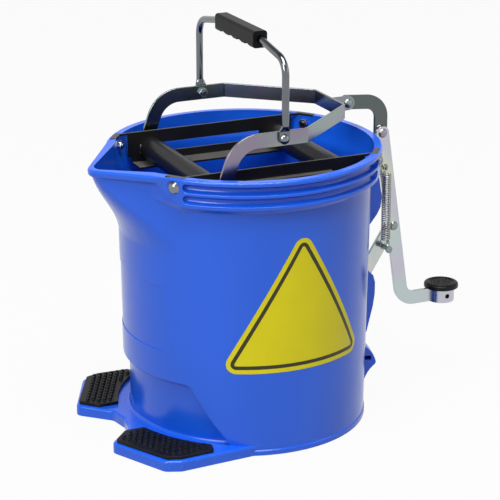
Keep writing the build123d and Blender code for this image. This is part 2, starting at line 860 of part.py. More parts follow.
# Yoke: one bent strip, standing on edge, whose ends turn down to the front axle
with BuildPart() as yoke:
    with BuildSketch(Plane.XY.offset(yoke_z - strip_w / 2)):
        with BuildLine():
            FilletPolyline(
                (bail_x, -yoke_y),
                (yoke_bend_x, -yoke_y),
                (yoke_front_x, -yoke_front_half),
                (yoke_front_x, yoke_front_half),
                (yoke_bend_x, yoke_y),
                (bail_x, yoke_y),
                radius=yoke_bend_r,
            )
        trace(line_width=strip_t)
    extrude(amount=strip_w)
    for side in sides:
        with BuildSketch(far_face(side, leg_in, leg_out)):
            with BuildLine():
                FilletPolyline((bail_x, yoke_z), (leg_corner_x, yoke_z), leg_end, radius=leg_bend_r)
            trace(line_width=strip_w)
            with Locations(leg_end):
                Circle(strip_w / 2)
        extrude(amount=strip_t)
    cross_hole(front_axle_x, axle_z, axle_r + seat_fit)
    cross_hole(bail_x, bail_pivot_z, handle_bolt_r + seat_fit)
finish(yoke, "wringer_yoke")

with BuildPart() as pull_lug:
    lug_root = yoke_front_x + strip_t / 2
    with BuildSketch(upright(0)):
        with Locations(((lug_root + pull_pivot[0]) / 2, pull_pivot[1])):
            Rectangle(pull_pivot[0] - lug_root, leaf_w)
        with Locations(pull_pivot):
            Circle(leaf_w / 2)
            Circle(pivot_r + seat_fit, mode=Mode.SUBTRACT)
    extrude(amount=leaf_t)
finish(pull_lug, "pull_lug")

# Pull link, with a slotted eye over the lever's rivet
with BuildPart() as pull_link:
    strap(upright(back_y), (pull_pivot, pull_corner, lever_top), pull_bend_r, leaf_w, leaf_t)
    cross_hole(*pull_pivot, pivot_r + run_fit)
    with BuildSketch(upright(back_y)):
        with BuildLine():
            Line(lever_top, (lever_top[0] + pull_slot_lean, lever_top[1] + pull_slot_rise))
        trace(line_width=2 * (rivet_r + pull_slot_gap))
        with Locations(lever_top, (lever_top[0] + pull_slot_lean, lever_top[1] + pull_slot_rise)):
            Circle(rivet_r + pull_slot_gap)
    extrude(amount=leaf_t, mode=Mode.SUBTRACT)
finish(pull_link, "pull_link")

# Pedal lever: a flat strap bent forward to the foot, its end rolled into a ring
ring_y = -leaf_t / 2
foot_low = foot_z - leaf_w / 2
with BuildPart() as lever:
    strap(
        upright(0),
        (lever_top, (lever_foot_x, foot_z), (ring_x - ring_r - leaf_w / 2 + ring_t / 2, foot_z)),
        lever_bend_r,
        leaf_w,
        leaf_t,
    )
    with BuildSketch(Plane.XY.offset(foot_low)):
        with Locations((ring_x, ring_y)):
            Circle(ring_r)
        with Locations((ring_x - ring_r - leaf_w / 4, ring_y)):
            Rectangle(leaf_w / 2 + ring_t, leaf_t)
        with Locations((ring_x, ring_y)):
            Circle(ring_r - ring_t, mode=Mode.SUBTRACT)
        with Locations((ring_x - ring_r, ring_y + leaf_t / 2 + ring_slit / 2)):
            Rectangle(2 * ring_t, ring_slit, mode=Mode.SUBTRACT)
    extrude(amount=leaf_w)
    with BuildSketch(upright(ring_r)):
        with Locations((ring_x, foot_z)):
            Circle(ring_hole_r)
    extrude(amount=2 * ring_r + leaf_t, mode=Mode.SUBTRACT)
    cross_hole(*lever_top, rivet_r + seat_fit)
    cross_hole(*lever_pivot, pivot_r + seat_fit)
finish(lever, "pedal_lever")

# Rubber pad plugged into the lever's ring
ring_top = foot_low + leaf_w
with BuildPart() as pedal_pad:
    with BuildSketch(Plane.XY.offset(ring_top)):
        with Locations((ring_x, ring_y)):
            Circle(pedal_pad_r)
    extrude(amount=pedal_pad_t)
    fillet(edges().group_by(Axis.Z)[-1], pedal_pad_round)
    with BuildSketch(Plane.XY.offset(ring_top + pedal_pad_t)):
        with Locations((ring_x, ring_y)):
            for i in range(pedal_rings):
                Circle(pedal_ring_pitch * (i + 1))
                Circle(pedal_ring_pitch * (i + 1) - pedal_ring_w, mode=Mode.SUBTRACT)
    extrude(amount=pedal_ring_h)
    with BuildSketch(Plane.XY.offset(ring_top)):
        with Locations((ring_x, ring_y)):
            Circle(ring_r - ring_t - seat_fit)
    extrude(amount=-pedal_plug_len)
finish(pedal_pad, "pedal_pad")

# Swing link between the shell's fins and the lever
with BuildPart() as swing_link:
    strap(upright(back_y), (link_base, lever_pivot), 0, leaf_w, leaf_t)
    cross_hole(*link_base, pivot_r + run_fit)
    cross_hole(*lever_pivot, pivot_r + run_fit)
    cross_hole(spring_x, spring_low, spring_stud_r + seat_fit)
finish(swing_link, "swing_link")


def pivot_bolt(at, near_y, far_y, name):
    """Dome-headed pivot bolt along Y, its head on the camera's side."""
    with BuildPart() as bolt:
        dome_bolt(sideways(at[0], near_y, at[1], -1), pivot_r, far_y - near_y + nut_h + thread_over)
    finish(bolt, name + "_bolt")
    with BuildPart() as nut:
        hex_nut(sideways(at[0], far_y, at[1], 1), pivot_r + seat_fit)
    finish(nut, name + "_nut")


pivot_bolt(pull_pivot, -leaf_t, nut_y, "pull_link")
pivot_bolt(lever_pivot, -leaf_t, nut_y, "pedal_pivot")
pivot_bolt(link_base, -fin_t, nut_y + fin_t, "link_pivot")

with BuildPart() as rivet:
    dome_bolt(sideways(lever_top[0], -leaf_t, lever_top[1], -1), rivet_r, leaf_t + nut_y)
    disc(sideways(lever_top[0], nut_y, lever_top[1], 1), dome_r, rivet_tail_t)
finish(rivet, "pull_link_rivet")

# Stud on the link and rod on the shell, which hold the spring's ends
stud_near = spring_y - coil_r - spring_stud_over
with BuildPart() as stud:
    disc(sideways(spring_x, back_y, spring_low, -1), spring_stud_r, back_y - stud_near)
    disc(sideways(spring_x, back_y, spring_low, 1), spring_stud_r + spring_stud_rim, rivet_tail_t)
    disc(sideways(spring_x, stud_near, spring_low, 1), spring_stud_r + spring_stud_rim, rivet_tail_t)
finish(stud, "spring_stud")

with BuildPart() as anchor:
    with BuildSketch(Plane.YZ.offset(anchor_seat_x)):
        with Locations((spring_y, anchor_z)):
            Circle(anchor_r)
    extrude(amount=spring_x - anchor_short - anchor_seat_x)
    with BuildSketch(Plane.YZ.offset(spring_x - anchor_short)):
        with Locations((spring_y, anchor_z)):
            Circle(anchor_r + spring_stud_rim)
    extrude(amount=rivet_tail_t)
finish(anchor, "spring_anchor")

# Spring: close turns between two straight tails, each turn made of tangent arcs
lead = atan2(spring_pitch, 2 * pi * coil_r)
tail_run = tail_bend_r * (1 - sin(lead))
tail_turn = atan2(tail_run, coil_r)
first_angle = pi / 2 + tail_turn
last_angle = 2 * pi * spring_turns + pi - tail_turn
half_turns = 2 * spring_turns
half_turn = (last_angle - first_angle) / half_turns


def coil_point(i):
    """Point of the coil's centre line after so many half turns."""
    angle = first_angle + i * half_turn
    rise = (coil_high - coil_low) * i / half_turns
    return Vector(spring_x + coil_r * cos(angle), spring_y + coil_r * sin(angle), coil_low + rise)


def coil_heading(i):
    """Unit direction of the coil's centre line there."""
    angle = first_angle + i * half_turn
    return Vector(-sin(angle) * cos(lead), cos(angle) * cos(lead), sin(lead))


def level_heading(i):
    """The same direction, without its climb."""
    angle = first_angle + i * half_turn
    return Vector(-sin(angle), cos(angle), 0)


up = Vector(0, 0, 1)
low_bend = coil_point(0) - level_heading(0) * tail_run - up * (tail_bend_r * cos(lead))
high_bend = coil_point(half_turns) + level_heading(half_turns) * tail_run + up * (tail_bend_r * cos(lead))
low_end = Vector(low_bend.X, low_bend.Y, spring_low + spring_stud_r + tail_gap)
high_end = Vector(high_bend.X, high_bend.Y, anchor_z - anchor_r - tail_gap)

with BuildPart() as spring:
    with BuildLine() as spring_line:
        Line(low_end, low_bend)
        TangentArc(low_bend, coil_point(0), tangent=up)
        for i in range(half_turns):
            here = coil_point(i)
            there = coil_point(i + 1)
            t_here = coil_heading(i)
            t_there = coil_heading(i + 1)
            chord = there - here
            a = 2 * (1 - t_here.dot(t_there))
            b = 2 * chord.dot(t_here + t_there)
            reach = (sqrt(b * b + 4 * a * chord.dot(chord)) - b) / (2 * a)
            join = (here + there + (t_here - t_there) * reach) * 0.5
            TangentArc(here, join, tangent=t_here)
            TangentArc(join, there, tangent=there - t_there * reach - here - t_here * reach)
        TangentArc(coil_point(half_turns), high_bend, tangent=coil_heading(half_turns))
        Line(high_bend, high_end)
    with BuildSketch(Plane(low_end, z_dir=(0, 0, 1))):
        Circle(wire_r)
    sweep(path=spring_line.wires()[0])
finish(spring, "return_spring")

# Least gap between neighbouring turns, on points along the centre line
per_turn = 48
wire_line = spring_line.wires()[0]
samples = [wire_line @ (i / (per_turn * spring_turns)) for i in range(per_turn * spring_turns + 1)]
near_turn = range(per_turn // 2, 2 * per_turn)
gaps = [(samples[i + k] - samples[i]).length for i in range(len(samples) - 2 * per_turn) for k in near_turn]
print("return_spring: least gap to itself", round(min(gaps) - 2 * wire_r, 3), "mm")

# Carrying handle: a round bar whose ends are beaten flat round their bolts
bail_turn_z = bail_flat_z + bail_flat_len
with BuildPart() as bail:
    with BuildLine() as bail_line:
        FilletPolyline(
            (bail_x, -bail_y, bail_turn_z),
            (bail_x, -bail_y, bail_top_z - bail_shoulder_drop),
            (bail_x, -grip_half - bail_shoulder_in, bail_top_z),
            (bail_x, grip_half + bail_shoulder_in, bail_top_z),
            (bail_x, bail_y, bail_top_z - bail_shoulder_drop),
            (bail_x, bail_y, bail_turn_z),
            radius=bail_bend_r,
        )
    with BuildSketch(Plane((bail_x, -bail_y, bail_turn_z), z_dir=(0, 0, 1))):
        Circle(bail_r)
    sweep(path=bail_line.wires()[0])
    foot_mid = (bail_foot_in + bail_foot_out) / 2
    for side in sides:
        with BuildSketch(Plane.XY.offset(bail_flat_z)):
            with Locations((bail_x, side * foot_mid)):
                Rectangle(bail_foot_w, bail_foot_t)
        with BuildSketch(Plane.XY.offset(bail_turn_z)):
            with Locations((bail_x, side * bail_y)):
                Circle(bail_r)
        loft()
        with BuildSketch(far_face(side, bail_foot_in, bail_foot_out)):
            with Locations((bail_x, (bail_pivot_z + bail_flat_z) / 2)):
                Rectangle(bail_foot_w, bail_flat_rise)
            with Locations((bail_x, bail_pivot_z)):
                Circle(bail_foot_w / 2)
        extrude(amount=bail_foot_t)
    cross_hole(bail_x, bail_pivot_z, handle_bolt_r + run_fit)
finish(bail, "carry_handle")

with BuildPart() as grip:
    with BuildSketch(upright(grip_half)):
        with Locations((bail_x, bail_top_z + (grip_top - grip_low) / 2)):
            RectangleRounded(grip_w, grip_top + grip_low, grip_round)
        with Locations((bail_x, bail_top_z)):
            Circle(bail_r + seat_fit, mode=Mode.SUBTRACT)
    extrude(amount=2 * grip_half)
    with BuildSketch(Plane.YZ.offset(bail_x - grip_w)):
        for i in range(fingers):
            y = (i - (fingers - 1) / 2) * finger_pitch
            with Locations((y, bail_top_z - grip_low - finger_r + finger_bite)):
                Circle(finger_r)
    extrude(amount=2 * grip_w, mode=Mode.SUBTRACT)
finish(grip, "handle_grip")

with BuildPart() as handle_bolts:
    for side in sides:
        seat_y = bail_foot_out + bail_foot_gap
        bolt_len = seat_y - leg_in + nut_h + thread_over
        dome_bolt(sideways(bail_x, side * seat_y, bail_pivot_z, side), handle_bolt_r, bolt_len)
finish(handle_bolts, "handle_bolts")

with BuildPart() as handle_nuts:
    for side in sides:
        hex_nut(sideways(bail_x, side * leg_in, bail_pivot_z, -side), handle_bolt_r + seat_fit)
finish(handle_nuts, "handle_nuts")
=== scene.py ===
"""Mop bucket with a pedal-worked roller wringer, dressed for its portrait."""

import json
import math

import bmesh
import bpy
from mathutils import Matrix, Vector

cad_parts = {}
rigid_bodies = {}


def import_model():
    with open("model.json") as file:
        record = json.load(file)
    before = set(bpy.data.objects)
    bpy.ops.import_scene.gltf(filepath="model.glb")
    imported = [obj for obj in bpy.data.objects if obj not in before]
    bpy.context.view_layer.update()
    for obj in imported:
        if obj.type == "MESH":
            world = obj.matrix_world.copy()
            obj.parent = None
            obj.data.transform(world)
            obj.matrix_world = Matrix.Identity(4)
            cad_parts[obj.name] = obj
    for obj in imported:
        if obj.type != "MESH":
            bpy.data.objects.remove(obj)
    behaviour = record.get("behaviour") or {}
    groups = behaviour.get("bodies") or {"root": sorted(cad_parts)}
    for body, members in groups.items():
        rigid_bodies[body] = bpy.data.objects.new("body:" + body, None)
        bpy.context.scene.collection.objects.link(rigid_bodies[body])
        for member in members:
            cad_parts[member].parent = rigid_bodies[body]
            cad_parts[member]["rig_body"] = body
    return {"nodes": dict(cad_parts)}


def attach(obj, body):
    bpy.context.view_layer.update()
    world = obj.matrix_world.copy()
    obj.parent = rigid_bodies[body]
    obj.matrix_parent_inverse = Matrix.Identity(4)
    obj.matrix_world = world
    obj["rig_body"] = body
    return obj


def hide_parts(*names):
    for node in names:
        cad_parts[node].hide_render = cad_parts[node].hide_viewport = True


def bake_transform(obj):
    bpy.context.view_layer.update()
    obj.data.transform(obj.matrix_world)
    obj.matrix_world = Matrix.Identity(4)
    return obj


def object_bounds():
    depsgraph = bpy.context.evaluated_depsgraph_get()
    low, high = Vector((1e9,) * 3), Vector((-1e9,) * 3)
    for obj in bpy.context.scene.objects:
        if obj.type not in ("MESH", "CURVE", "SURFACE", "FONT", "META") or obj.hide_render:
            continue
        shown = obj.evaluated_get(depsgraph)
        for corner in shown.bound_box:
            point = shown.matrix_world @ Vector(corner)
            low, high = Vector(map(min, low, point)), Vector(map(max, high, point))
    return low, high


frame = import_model()
cad_low, cad_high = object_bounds()
nodes = frame["nodes"]


# Bucket shell: one deep tub moulded in blue polypropylene, with its spout, ribbed collar, foot rests
# and rear lugs in the same shot. Its skin is glossy, with the faint waviness that cooling leaves.
class Wire:
    """A socket of a node tree. Arithmetic on it adds Math nodes to that tree."""

    def __init__(self, socket):
        self.socket = socket
        self.tree = socket.id_data

    def node(self, kind, settings, inputs, out=0):
        """Adds a node, gives it its settings, then its sockets' values or links."""
        made = self.tree.nodes.new("ShaderNode" + kind)
        for name, value in settings.items():
            setattr(made, name, value)
        for name, value in inputs.items():
            if isinstance(value, Wire):
                self.tree.links.new(value.socket, made.inputs[name])
            else:
                made.inputs[name].default_value = value
        return Wire(made.outputs[out])

    def math(self, operation, *values):
        """Adds a Math node, whose inputs are numbered."""
        return self.node("Math", {"operation": operation}, dict(enumerate(values)))

    def __add__(self, other):
        return self.math("ADD", self, other)

    __radd__ = __add__

    def __mul__(self, other):
        return self.math("MULTIPLY", self, other)

    __rmul__ = __mul__

    def __sub__(self, other):
        return self.math("SUBTRACT", self, other)

    def __rsub__(self, other):
        return self.math("SUBTRACT", other, self)

    def noise(self, scale, detail=2.0, roughness=0.5):
        """Fractal noise over these coordinates, from about 0 to 1."""
        inputs = {"Vector": self, "Scale": scale, "Detail": detail, "Roughness": roughness}
        return self.node("TexNoise", {}, inputs)

    def stretched(self, scale):
        """These coordinates, scaled apart along X, Y and Z."""
        return self.node("Mapping", {}, {"Vector": self, "Scale": scale})

    def part(self, axis):
        """One of these coordinates, by its letter."""
        return self.node("SeparateXYZ", {}, {"Vector": self}, out=axis)

    def band(self, low, high):
        """0 below one value, 1 above the other, with a smooth step between them."""
        inputs = {"Value": self, "From Min": low, "From Max": high}
        return self.node("MapRange", {"interpolation_type": "SMOOTHSTEP"}, inputs)

    def tint(self, first, second):
        """Colour between two colours, as this value goes from 0 to 1."""
        first, second = [c if isinstance(c, Wire) else (*c, 1.0) for c in (first, second)]
        # The Mix node's colour sockets share their names with others, so they go by number.
        return self.node("Mix", {"data_type": "RGBA"}, {0: self, 6: first, 7: second}, out=2)


class Finish:
    """A material with one Principled shader, whose fixed values are set on the shader itself."""

    def __init__(self, name, **fixed):
        self.material = bpy.data.materials.new(name)
        self.material.use_nodes = True
        tree = self.material.node_tree
        self.shader = tree.nodes["Principled BSDF"]
        for socket, value in fixed.items():
            self.shader.inputs[socket.replace("_", " ")].default_value = value
        self.place = Wire(tree.nodes.new("ShaderNodeTexCoord").outputs["Object"])

    def drive(self, socket, wire):
        """Lets a value that changes over the surface feed one of the shader's sockets."""
        wire.tree.links.new(wire.socket, self.shader.inputs[socket])

    def bump(self, height, depth):
        """Raises the surface by this height field, to a depth in metres."""
        inputs = {"Height": height, "Distance": depth, "Strength": 1.0}
        self.drive("Normal", height.node("Bump", {}, inputs))

    def coat(self, *pieces):
        """Gives pieces this material alone."""
        for piece in pieces:
            piece.data.materials.clear()
            piece.data.materials.append(self.material)


def work_on(piece):
    """Makes a piece the only one selected, and the active one."""
    bpy.ops.object.select_all(action="DESELECT")
    piece.select_set(True)
    bpy.context.view_layer.objects.active = piece


join_reach = 0.000004


def merged(name):
    """A copy of a CAD node whose loose triangles are joined, open in edit mode with all selected."""
    piece = bpy.data.objects.new(name + "_soft", nodes[name].data.copy())
    bpy.context.scene.collection.objects.link(piece)
    work_on(piece)
    bpy.ops.object.mode_set(mode="EDIT")
    bpy.ops.mesh.select_all(action="SELECT")
    bpy.ops.mesh.customdata_custom_splitnormals_clear()
    bpy.ops.mesh.remove_doubles(threshold=join_reach)
    return piece


def stand_for(piece, name):
    """Lets a finished piece take a CAD node's place, on the node's own body."""
    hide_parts(name)
    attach(piece, nodes[name]["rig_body"])


def shade_evenly(piece, crease):
    """Smooth shading that keeps edges sharper than an angle in degrees, and leaves flat faces flat."""
    bpy.ops.object.shade_smooth_by_angle(angle=math.radians(crease))
    level = piece.modifiers.new("level", "WEIGHTED_NORMAL")
    level.keep_sharp = True
    bpy.ops.object.modifier_apply(modifier="level")


round_steps = 3
sharp_turn = math.radians(30)


def round_over(piece, width, inside):
    """Rounds the sharp outer edges whose middle is inside some region, in edit mode."""
    mesh = bmesh.from_edit_mesh(piece.data)
    for edge in mesh.edges:
        middle = (edge.verts[0].co + edge.verts[1].co) / 2
        turn = edge.calc_face_angle_signed(0.0)
        edge.select_set(turn > sharp_turn and inside(middle))
    bmesh.update_edit_mesh(piece.data)
    bpy.ops.mesh.bevel(offset=width, segments=round_steps, affect="EDGES", clamp_overlap=False)


wall_r = (0.137, 0.1415)
front_side = -0.05
toe_levels = (0.016, 0.080)
toe_rounding = 0.0015
panel_levels = (0.111, 0.189)
panel_half = 0.066
panel_rounding = 0.0004


def on_front_wall(point):
    """Whether a point is on the outer wall, on the spout's side."""
    return point.x < front_side and wall_r[0] < point.xy.length < wall_r[1]


def on_toe_recess(point):
    """Whether a point is at the height of the toe recess."""
    return on_front_wall(point) and toe_levels[0] < point.z < toe_levels[1]


def on_panel(point):
    """Whether a point is where the panel is let into the wall."""
    level = panel_levels[0] < point.z < panel_levels[1]
    return on_front_wall(point) and level and abs(point.y) < panel_half


groove_floor_r = 0.1487
groove_floor_slack = 0.0003
groove_levels = (0.30925, 0.29625)
groove_half = 0.0047
groove_rim_slack = 0.0002
groove_end = math.radians(42.3)
groove_dish = 0.0034
groove_sink = 0.0016
groove_insets = (0.00015, 0.00045, 0.0008, 0.0011, 0.0012)


def from_groove_middle(point):
    """How far a point of a groove's floor is from the groove's middle line, or None off the floors."""
    if abs(point.xy.length - groove_floor_r) > groove_floor_slack:
        return None
    turn = math.atan2(abs(point.y), point.x)
    past_end = groove_floor_r * max(groove_end - turn, turn - (math.pi - groove_end), 0.0)
    reach = min(math.hypot(past_end, point.z - level) for level in groove_levels)
    return reach if reach < groove_half + groove_rim_slack else None


def dish_grooves(piece):
    """Insets the floors of the collar's grooves and draws their rims out, so that each groove is hollow."""
    bpy.ops.mesh.select_mode(type="FACE")
    mesh = bmesh.from_edit_mesh(piece.data)
    for face in mesh.faces:
        face.select_set(all(from_groove_middle(corner.co) is not None for corner in face.verts))
    bmesh.update_edit_mesh(piece.data)
    for step in groove_insets:
        bpy.ops.mesh.inset(thickness=step)
    mesh = bmesh.from_edit_mesh(piece.data)
    for point in mesh.verts:
        reach = from_groove_middle(point.co)
        if reach is not None:
            share = min(reach / groove_half, 1.0)
            out_r = groove_floor_r + groove_dish - (groove_dish + groove_sink) * math.sqrt(1 - share**2)
            point.co.xy *= out_r / point.co.xy.length
    bmesh.update_edit_mesh(piece.data)


lip_round = 0.0024
lip_round_slack = 0.00003
lip_reach = 0.0003
lip_cuts = 2
lip_shy = 0.00002
rim_round_at = (0.1526, 0.3166)
collar_round_at = (0.1501, 0.2884)


def divide_round(piece, middle_r, middle_z, side):
    """Divides the faces of a rounded edge that runs round the collar, and sets their points on the round."""
    mesh = bmesh.from_edit_mesh(piece.data)
    for face in mesh.faces:
        spots = [(corner.co.xy.length - middle_r, side * (corner.co.z - middle_z)) for corner in face.verts]
        round_off = max(abs(math.hypot(*spot) - lip_round) for spot in spots)
        inward = min(sum(spot[0] for spot in spots), sum(spot[1] for spot in spots))
        face.select_set(round_off < lip_round_slack and inward > lip_reach)
    bmesh.update_edit_mesh(piece.data)
    bpy.ops.mesh.subdivide(number_cuts=lip_cuts)
    mesh = bmesh.from_edit_mesh(piece.data)
    for point in {corner for face in mesh.faces if face.select for corner in face.verts}:
        out, rise = point.co.xy.length - middle_r, point.co.z - middle_z
        stretch = (lip_round - lip_shy) / math.hypot(out, rise)
        point.co.xy *= (middle_r + stretch * out) / point.co.xy.length
        point.co.z = middle_z + stretch * rise
    bmesh.update_edit_mesh(piece.data)


shell_crease = 32.0
shell_deep = (0.006, 0.090, 0.62)
shell_fresh = (0.009, 0.104, 0.68)
shell_scuffed = (0.050, 0.16, 0.72)
shell_waves = 0.00006
tread_band = (0.004, 0.02)

shell = merged("bucket_shell")
dish_grooves(shell)
divide_round(shell, *rim_round_at, 1)
divide_round(shell, *collar_round_at, -1)
bpy.ops.mesh.select_mode(type="EDGE")
round_over(shell, toe_rounding, on_toe_recess)
round_over(shell, panel_rounding, on_panel)
bpy.ops.object.mode_set(mode="OBJECT")
shade_evenly(shell, shell_crease)
stand_for(shell, "bucket_shell")

shell_blue = Finish("shell_blue", IOR=1.48)
flow = shell_blue.place.stretched((7.0, 7.0, 3.0)).noise(1.0, detail=3.0)
ripple = shell_blue.place.noise(46.0)
grain = shell_blue.place.noise(1500.0)
treading = 1 - shell_blue.place.part("Z").band(*tread_band)
scratches = shell_blue.place.stretched((190.0, 190.0, 420.0)).noise(1.0, detail=5.0, roughness=0.7)
scuffs = treading * scratches.band(0.58, 0.70)
plastic = flow.band(0.3, 0.7).tint(shell_deep, shell_fresh)
shell_blue.drive("Base Color", (0.3 * scuffs).tint(plastic, shell_scuffed))
shell_blue.drive("Roughness", 0.17 + 0.08 * ripple + 0.25 * scuffs)
shell_blue.bump(ripple + 0.10 * grain, shell_waves)
shell_blue.coat(shell)


# Foot pads: two mats of black rubber, moulded with rows of round studs and pressed on to the foot
# rests. A little dust stays in the rubber's grain.
crease = 40.0
flat_turn = math.radians(0.6)


def rounded(name, width):
    """A copy of a CAD node with its sharp edges rounded, which stands for it."""
    piece = merged(name)
    bpy.ops.mesh.dissolve_limited(angle_limit=flat_turn)
    bpy.ops.object.mode_set(mode="OBJECT")
    edge = piece.modifiers.new("edge", "BEVEL")
    edge.limit_method = "ANGLE"
    edge.angle_limit = math.radians(crease)
    edge.width = width
    edge.segments = round_steps
    edge.use_clamp_overlap = False
    bpy.ops.object.modifier_apply(modifier="edge")
    shade_evenly(piece, crease)
    stand_for(piece, name)
    return piece


mat_rounding = 0.0005
rubber_clean = (0.0022, 0.0022, 0.003)
rubber_dusty = (0.009, 0.009, 0.011)
rubber_grain = 0.00003

rubber_black = Finish("rubber_black", Specular_IOR_Level=0.2)
dust = rubber_black.place.noise(90.0, detail=4.0, roughness=0.6)
rubber_black.drive("Base Color", dust.band(0.45, 0.8).tint(rubber_clean, rubber_dusty))
rubber_black.drive("Roughness", 0.30 + 0.22 * dust)
rubber_black.bump(rubber_black.place.noise(2200.0), rubber_grain)
for name in ("foot_pad_left", "foot_pad_right"):
    rubber_black.coat(rounded(name, mat_rounding))

# Label: a bare triangle of yellow vinyl film with a black keyline, cut with round corners. It is stuck
# on the side of the tub and follows the wall's curve.
label_side = 0.1886
label_corner = 0.0198
label_corner_steps = 12
label_corner_profile = 0.455
label_margin = 0.0050
label_keyline = 0.0043
label_strips = 36
label_join_reach = 0.00002
label_wall_r = 0.1412
label_turn = math.radians(2.3)
label_low = 0.0975
label_lift = 0.00010
label_film = 0.00022
vinyl_deep = (0.60, 0.53, 0.002)
vinyl_bright = (0.66, 0.585, 0.004)
vinyl_waves = 0.00005
ink_full = (0.020, 0.017, 0.006)
ink_thin = (0.034, 0.030, 0.010)

vinyl_yellow = Finish("vinyl_yellow", Specular_IOR_Level=0.3)
mottle = vinyl_yellow.place.noise(35.0, detail=3.0)
vinyl_yellow.drive("Base Color", mottle.tint(vinyl_deep, vinyl_bright))
vinyl_yellow.drive("Roughness", 0.26 + 0.14 * mottle)
vinyl_yellow.bump(vinyl_yellow.place.noise(160.0), vinyl_waves)
ink_black = Finish("ink_black", Specular_IOR_Level=0.3)
inking = ink_black.place.noise(240.0, detail=3.0)
ink_black.drive("Base Color", inking.tint(ink_full, ink_thin))
ink_black.drive("Roughness", 0.30 + 0.14 * inking)


def settle():
    """Moves the selected piece's place and turn into its mesh."""
    bpy.ops.object.transform_apply(location=True, rotation=True, scale=True)


bpy.ops.object.select_all(action="DESELECT")
bpy.ops.mesh.primitive_circle_add(vertices=3, radius=label_side / math.sqrt(3), fill_type="NGON")
label = bpy.context.object
label.name = "side_label"
label_foot = min(corner.co.y for corner in label.data.vertices)
vinyl_yellow.coat(label)
label.data.materials.append(ink_black.material)
bpy.ops.object.mode_set(mode="EDIT")
bpy.ops.mesh.select_all(action="SELECT")
bpy.ops.mesh.bevel(
    offset=label_corner, segments=label_corner_steps, profile=label_corner_profile, affect="VERTICES"
)
bpy.ops.mesh.select_all(action="SELECT")
bpy.ops.mesh.inset(thickness=label_margin)
label.active_material_index = 1
bpy.ops.object.material_slot_assign()
bpy.ops.mesh.inset(thickness=label_keyline)
label.active_material_index = 0
bpy.ops.object.material_slot_assign()
for i in range(1, label_strips):
    bpy.ops.mesh.select_all(action="SELECT")
    cut = (i / label_strips - 0.5) * label_side
    bpy.ops.mesh.bisect(plane_co=(cut, 0.0, 0.0), plane_no=(1.0, 0.0, 0.0))
bpy.ops.mesh.select_all(action="SELECT")
bpy.ops.mesh.remove_doubles(threshold=label_join_reach)
bpy.ops.object.mode_set(mode="OBJECT")
label.location = (0.0, -label_foot, 0.0)
settle()
label.rotation_euler = (math.pi / 2, 0.0, 0.0)
settle()
curl = label.modifiers.new("curl", "SIMPLE_DEFORM")
curl.deform_method = "BEND"
curl.deform_axis = "Z"
curl.angle = label.dimensions.x / label_wall_r
bpy.ops.object.modifier_apply(modifier="curl")
label.location = (0.0, -label_wall_r, label_low)
settle()
label.rotation_euler = (0.0, 0.0, label_turn)
settle()
stick = label.modifiers.new("stick", "SHRINKWRAP")
stick.target = shell
stick.wrap_mode = "ABOVE_SURFACE"
stick.offset = label_lift
bpy.ops.object.modifier_apply(modifier="stick")
film = label.modifiers.new("film", "SOLIDIFY")
film.thickness = label_film
film.offset = 1.0
bpy.ops.object.modifier_apply(modifier="film")
bpy.ops.object.shade_smooth_by_angle(angle=math.radians(crease))
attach(label, "bucket")

# Wringer side plates: steel sheet, pressed with a slot for the roller and stove-enamelled black. They
# hook behind the collar and are bolted there. The faces that look up are painted lighter, a painted sheen.
plate_rounding = 0.0006
enamel_deep = (0.004, 0.004, 0.005)
enamel_thin = (0.010, 0.010, 0.011)
plate_sheen_grey = (0.085, 0.083, 0.074)
enamel_peel = 0.00004

enamel_black = Finish("enamel_black", Specular_IOR_Level=0.3)
shade = enamel_black.place.noise(40.0, detail=3.0)
# Painted sheen: faces that look up are painted a mottled lighter grey, for the light they catch.
facing_up = shade.node("NewGeometry", {}, {}, out="Normal").part("Z").band(0.6, 0.95)
upward_sheen = facing_up * (0.55 + 0.6 * enamel_black.place.noise(150.0, detail=4.0, roughness=0.65))
enamel = shade.tint(enamel_deep, enamel_thin)
enamel_black.drive("Base Color", upward_sheen.tint(enamel, plate_sheen_grey))
enamel_black.drive("Roughness", 0.26 + 0.12 * enamel_black.place.noise(70.0, detail=3.0) + 0.3 * upward_sheen)
enamel_black.bump(enamel_black.place.noise(520.0, detail=1.0), enamel_peel)
for name in ("side_plate_left", "side_plate_right"):
    enamel_black.coat(rounded(name, plate_rounding))

# Rollers: two tubes of dark plastic, turned smooth, which squeeze the mop between them. They spin on
# steel axles. The rear one is fixed, and the front one slides with the yoke.
roller_rounding = 0.0007
roller_deep = (0.005, 0.005, 0.006)
roller_worn = (0.010, 0.010, 0.011)
turning_marks = 0.000005

roller_grey = Finish("roller_grey", Specular_IOR_Level=0.18)
turning = roller_grey.place.stretched((40.0, 1500.0, 40.0)).noise(1.0)
roller_cloud = roller_grey.place.noise(50.0, detail=3.0)
roller_grey.drive("Base Color", roller_cloud.tint(roller_deep, roller_worn))
roller_grey.drive("Roughness", 0.24 + 0.10 * turning)
roller_grey.bump(turning, turning_marks)
for name in ("front_roller", "rear_roller"):
    roller_grey.coat(rounded(name, roller_rounding))

# Roller bushes and slide blocks: natural nylon, moulded. The bushes are pressed into the rollers' ends,
# and the blocks run in the side plates' slots.
nylon_rounding = 0.0004
nylon_yellowed = (0.50, 0.49, 0.45)
nylon_fresh = (0.60, 0.59, 0.56)

nylon_white = Finish("nylon_white")
nylon_cloud = nylon_white.place.noise(120.0, detail=3.0)
nylon_white.drive("Base Color", nylon_cloud.tint(nylon_yellowed, nylon_fresh))
nylon_white.drive("Roughness", 0.38 + 0.16 * nylon_cloud)
for name in ("front_roller_bushes", "rear_roller_bushes", "slide_blocks"):
    nylon_white.coat(rounded(name, nylon_rounding))


